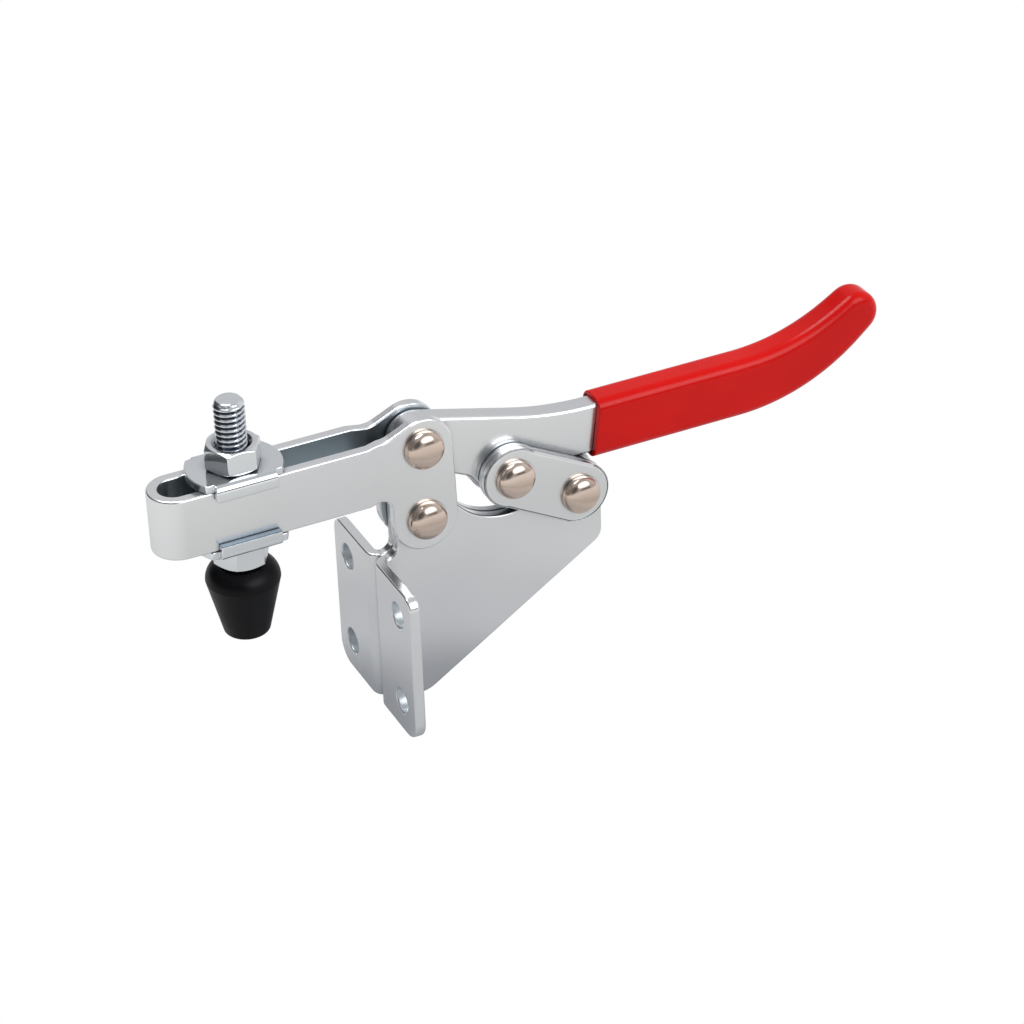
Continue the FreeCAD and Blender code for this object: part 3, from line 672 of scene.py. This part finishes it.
def add_camera():
    """Puts the camera where the photograph was taken from."""
    back = Vector((math.sin(AZIMUTH) * math.cos(ELEVATION),
                   -math.cos(AZIMUTH) * math.cos(ELEVATION), math.sin(ELEVATION)))
    right = Vector((math.cos(AZIMUTH), math.sin(AZIMUTH), 0))
    up = back.cross(right)
    turned_right = right * math.cos(ROLL) + up * math.sin(ROLL)
    turned_up = up * math.cos(ROLL) - right * math.sin(ROLL)
    across = (CENTRE_X - HALF_FRAME) / FOCAL * DISTANCE
    upward = -(CENTRE_Y - HALF_FRAME) / FOCAL * DISTANCE
    place = back * DISTANCE - turned_right * across - turned_up * upward
    data = bpy.data.cameras.new("camera")
    data.sensor_width = SENSOR
    data.lens = FOCAL * SENSOR / (HALF_FRAME * 2)
    data.clip_start = 0.05
    data.clip_end = 20.0
    camera = bpy.data.objects.new("camera", data)
    bpy.context.scene.collection.objects.link(camera)
    turn = Matrix((turned_right, turned_up, back)).transposed().to_4x4()
    camera.matrix_world = Matrix.Translation((BAR_PIVOT + place) * MM) @ turn
    bpy.context.scene.camera = camera


add_camera()


# The metal mirrors the white floor with painted shade on it: grey rings that only mirroring rays
# see, darkest below the clamp. Each ring is (distance from the middle in metres, colour).
FLOOR_REACH = 0.4
FLOOR_SHADE_RINGS = [
    (0.000, (0.27, 0.28, 0.305, 1)),
    (0.023, (0.32, 0.33, 0.355, 1)),
    (0.041, (0.59, 0.60, 0.62, 1)),
    (0.065, (0.575, 0.58, 0.60, 1)),
    (0.091, (0.70, 0.705, 0.71, 1)),
    (0.114, (0.575, 0.575, 0.575, 1)),
    (0.135, (0.70, 0.70, 0.695, 1)),
    (0.186, (0.84, 0.845, 0.85, 1)),
    (0.400, WHITE),
]
FLOOR_PALE = (0.62, 0.62, 0.62, 1)
FLOOR_HALF = 3.0
FLOOR_PLACE = (0.015, 0.003, -0.026)


def add_floor():
    """A pale floor under the clamp. The camera sees white paper, and mirroring metal sees the
    same paper glowing with painted rings of shade."""
    mesh = bmesh.new()
    bmesh.ops.create_grid(mesh, x_segments=1, y_segments=1, size=FLOOR_HALF)
    floor = add_object("floor", mesh)
    floor.location = FLOOR_PLACE
    look = Material("floor", FLOOR_PALE, roughness=0.9)
    look.material.cycles.emission_sampling = "NONE"
    reach = look.node("ShaderNodeVectorMath", operation="LENGTH")
    look.link(look.coordinates, reach.inputs[0])
    share = look.span(reach.outputs["Value"], {"From Max": FLOOR_REACH})
    rings = [(distance / FLOOR_REACH, color) for distance, color in FLOOR_SHADE_RINGS]
    path = look.node("ShaderNodeLightPath")
    paper = look.node("ShaderNodeEmission")
    shown = look.mix(path.outputs["Is Camera Ray"], look.ramp(share, rings), WHITE)
    look.link(shown, paper.inputs["Color"])
    seen = path.outputs["Is Camera Ray"]
    for kind in ("Is Glossy Ray", "Is Transmission Ray"):
        either = look.node("ShaderNodeMath", operation="MAXIMUM")
        look.link(seen, either.inputs[0])
        look.link(path.outputs[kind], either.inputs[1])
        seen = either.outputs["Value"]
    mix = look.node("ShaderNodeMixShader")
    look.link(seen, mix.inputs["Fac"])
    look.link(look.shader.outputs["BSDF"], mix.inputs[1])
    look.link(paper.outputs["Emission"], mix.inputs[2])
    look.link(mix.outputs["Shader"], look.tree.nodes["Material Output"].inputs["Surface"])
    dress(floor, look.material)


# Patches of the studio that the metal mirrors: direction, cosines of edge and core, grey. Their
# blue is a little stronger than the grey.
STUDIO_GREY = (0.52, 0.54, 0.57, 1)
BLUER = 1.03
PATCHES = [
    ((-0.9, -0.1, 0.35), 0.72, 0.95, 0.20),
    ((-0.6, 0.7, 0.4), 0.80, 0.96, 0.04),
    ((0.9, 0.05, 0.45), 0.82, 0.97, 0.75),
    ((0.36, 0.77, 0.53), 0.80, 0.95, 0.60),
    ((-0.4, -0.83, 0.4), 0.88, 0.97, 0.08),
    ((0.36, -0.77, 0.0), 0.93, 0.985, 0.06),
    ((0.34, -0.75, 0.62), 0.87, 0.95, 1.90),
]


def add_world():
    """A soft grey studio with a few lighter and darker patches. The camera sees white."""
    world = bpy.data.worlds.new("studio")
    bpy.context.scene.world = world
    world.use_nodes = True
    sky = Tree(world.node_tree)
    direction = sky.node("ShaderNodeTexCoord").outputs["Generated"]
    color = STUDIO_GREY
    for centre, edge, core, grey in PATCHES:
        dot = sky.node("ShaderNodeVectorMath", operation="DOT_PRODUCT")
        dot.inputs[1].default_value = Vector(centre).normalized()
        sky.link(direction, dot.inputs[0])
        inside = sky.span(dot.outputs["Value"], {"From Min": edge, "From Max": core},
                          interpolation_type="SMOOTHSTEP")
        color = sky.mix(inside, color, (grey, grey, grey * BLUER, 1))
    path = sky.node("ShaderNodeLightPath")
    background = sky.tree.nodes["Background"]
    sky.link(sky.mix(path.outputs["Is Camera Ray"], color, WHITE), background.inputs["Color"])
    background.inputs["Strength"].default_value = 1.0


def area_light(name, place, target, size, power):
    """A rectangular light at a place, aimed at a target."""
    data = bpy.data.lights.new(name, "AREA")
    data.shape = "RECTANGLE"
    data.size, data.size_y = size
    data.energy = power
    light = bpy.data.objects.new(name, data)
    bpy.context.scene.collection.objects.link(light)
    aim = Vector(target) - Vector(place)
    light.location = place
    light.rotation_euler = aim.to_track_quat("-Z", "Y").to_euler()


add_floor()
add_world()
area_light("key", place=(0.36, -0.76, 0.60), target=(0.04, 0, 0.03), size=(0.85, 0.45), power=2.9)
area_light("fill", place=(-0.15, 0.25, 0.95), target=(0.02, 0, 0.03), size=(0.5, 0.4), power=4.6)

bpy.context.scene.view_settings.view_transform = "Standard"
